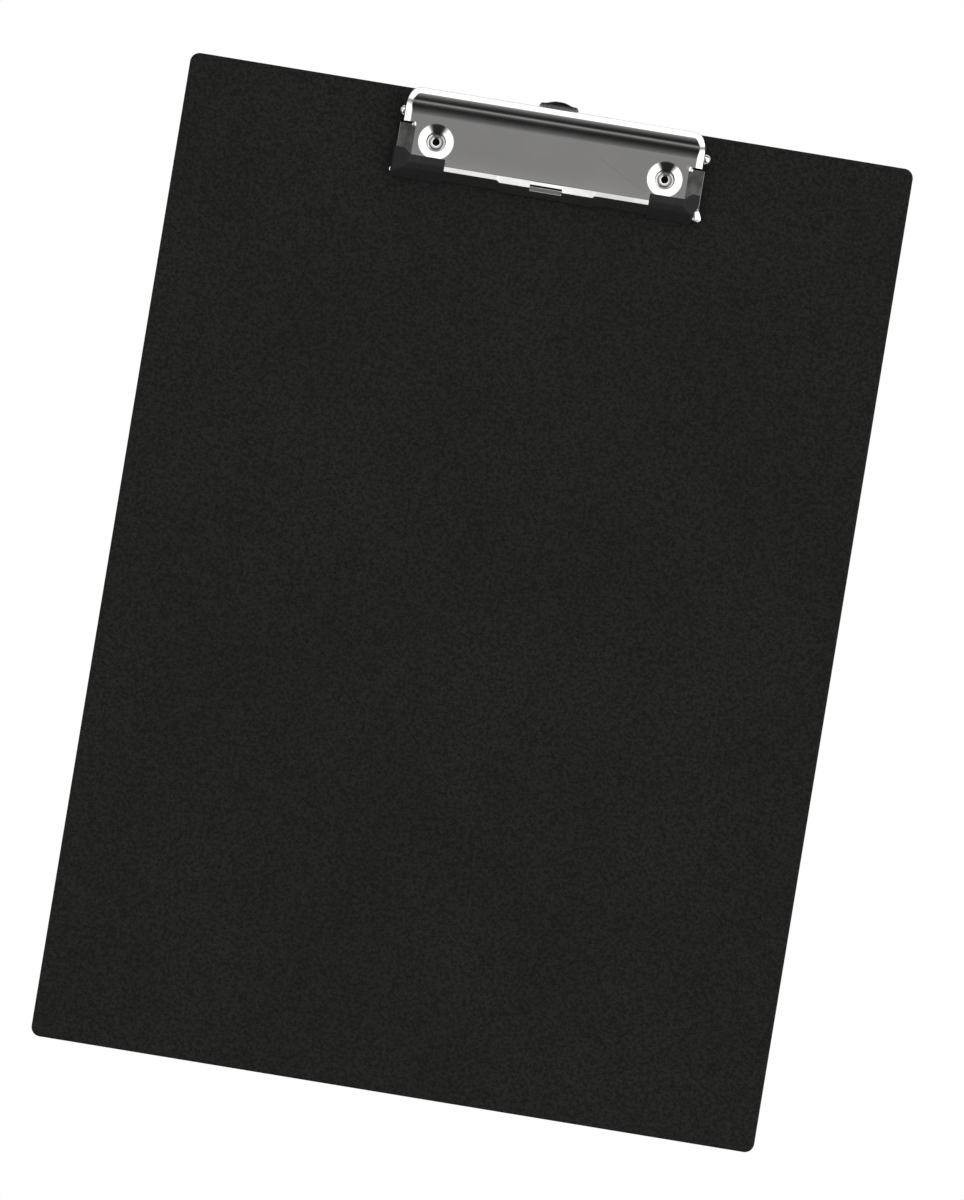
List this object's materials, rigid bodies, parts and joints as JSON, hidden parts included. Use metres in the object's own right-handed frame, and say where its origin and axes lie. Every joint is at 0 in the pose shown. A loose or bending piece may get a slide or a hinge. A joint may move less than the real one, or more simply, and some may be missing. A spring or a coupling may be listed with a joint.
{
  "type": "clipboard",
  "caption": "Foil-covered rigid board with a low sprung lever clip that hinges on a rod, rubber corner grips and a pull-out hanging hook.",
  "frame": {"origin": "centre of the board's back face, which rests on the table", "axes": "+X to the right, +Y along the board's length towards the clip, +Z out of the board's front"},
  "size_m": [0.23, 0.3165, 0.0139],
  "materials": {
    "foil": "black grained vinyl foil",
    "liner": "black fine-grained sheet",
    "core": "greyboard",
    "nickel": "bright nickel plate",
    "zinc": "zinc plate",
    "spring_steel": "drawn spring wire",
    "grip": "moulded black rubber"
  },
  "bodies": {
    "board": {"board_core": "core", "front_cover": "foil", "back_liner": "liner", "base_plate": "zinc", "pivot_rod": "nickel", "torsion_spring_left": "spring_steel", "torsion_spring_right": "spring_steel", "rivet_left": "nickel", "rivet_right": "nickel", "rivet_washer_left": "zinc", "rivet_washer_right": "zinc"},
    "jaw": {"jaw_plate": "nickel", "corner_grip_left": "grip", "corner_grip_right": "grip"},
    "hook": {"hanger_hook": "nickel"}
  },
  "joints": [
    {"name": "jaw_hinge", "type": "hinge", "parent": "board", "child": "jaw", "pos_m": [0.00175, 0.149, 0.0067], "axis": [-1, 0, 0], "range_deg": [0, 22], "stiffness_Nm_per_rad": 0.5, "springref_deg": -45.84, "deforming": ["torsion_spring_left", "torsion_spring_right"]},
    {"name": "hook_slide", "type": "slide", "parent": "board", "child": "hook", "axis": [0, 1, 0], "range_m": [0, 0.0125]}
  ]
}
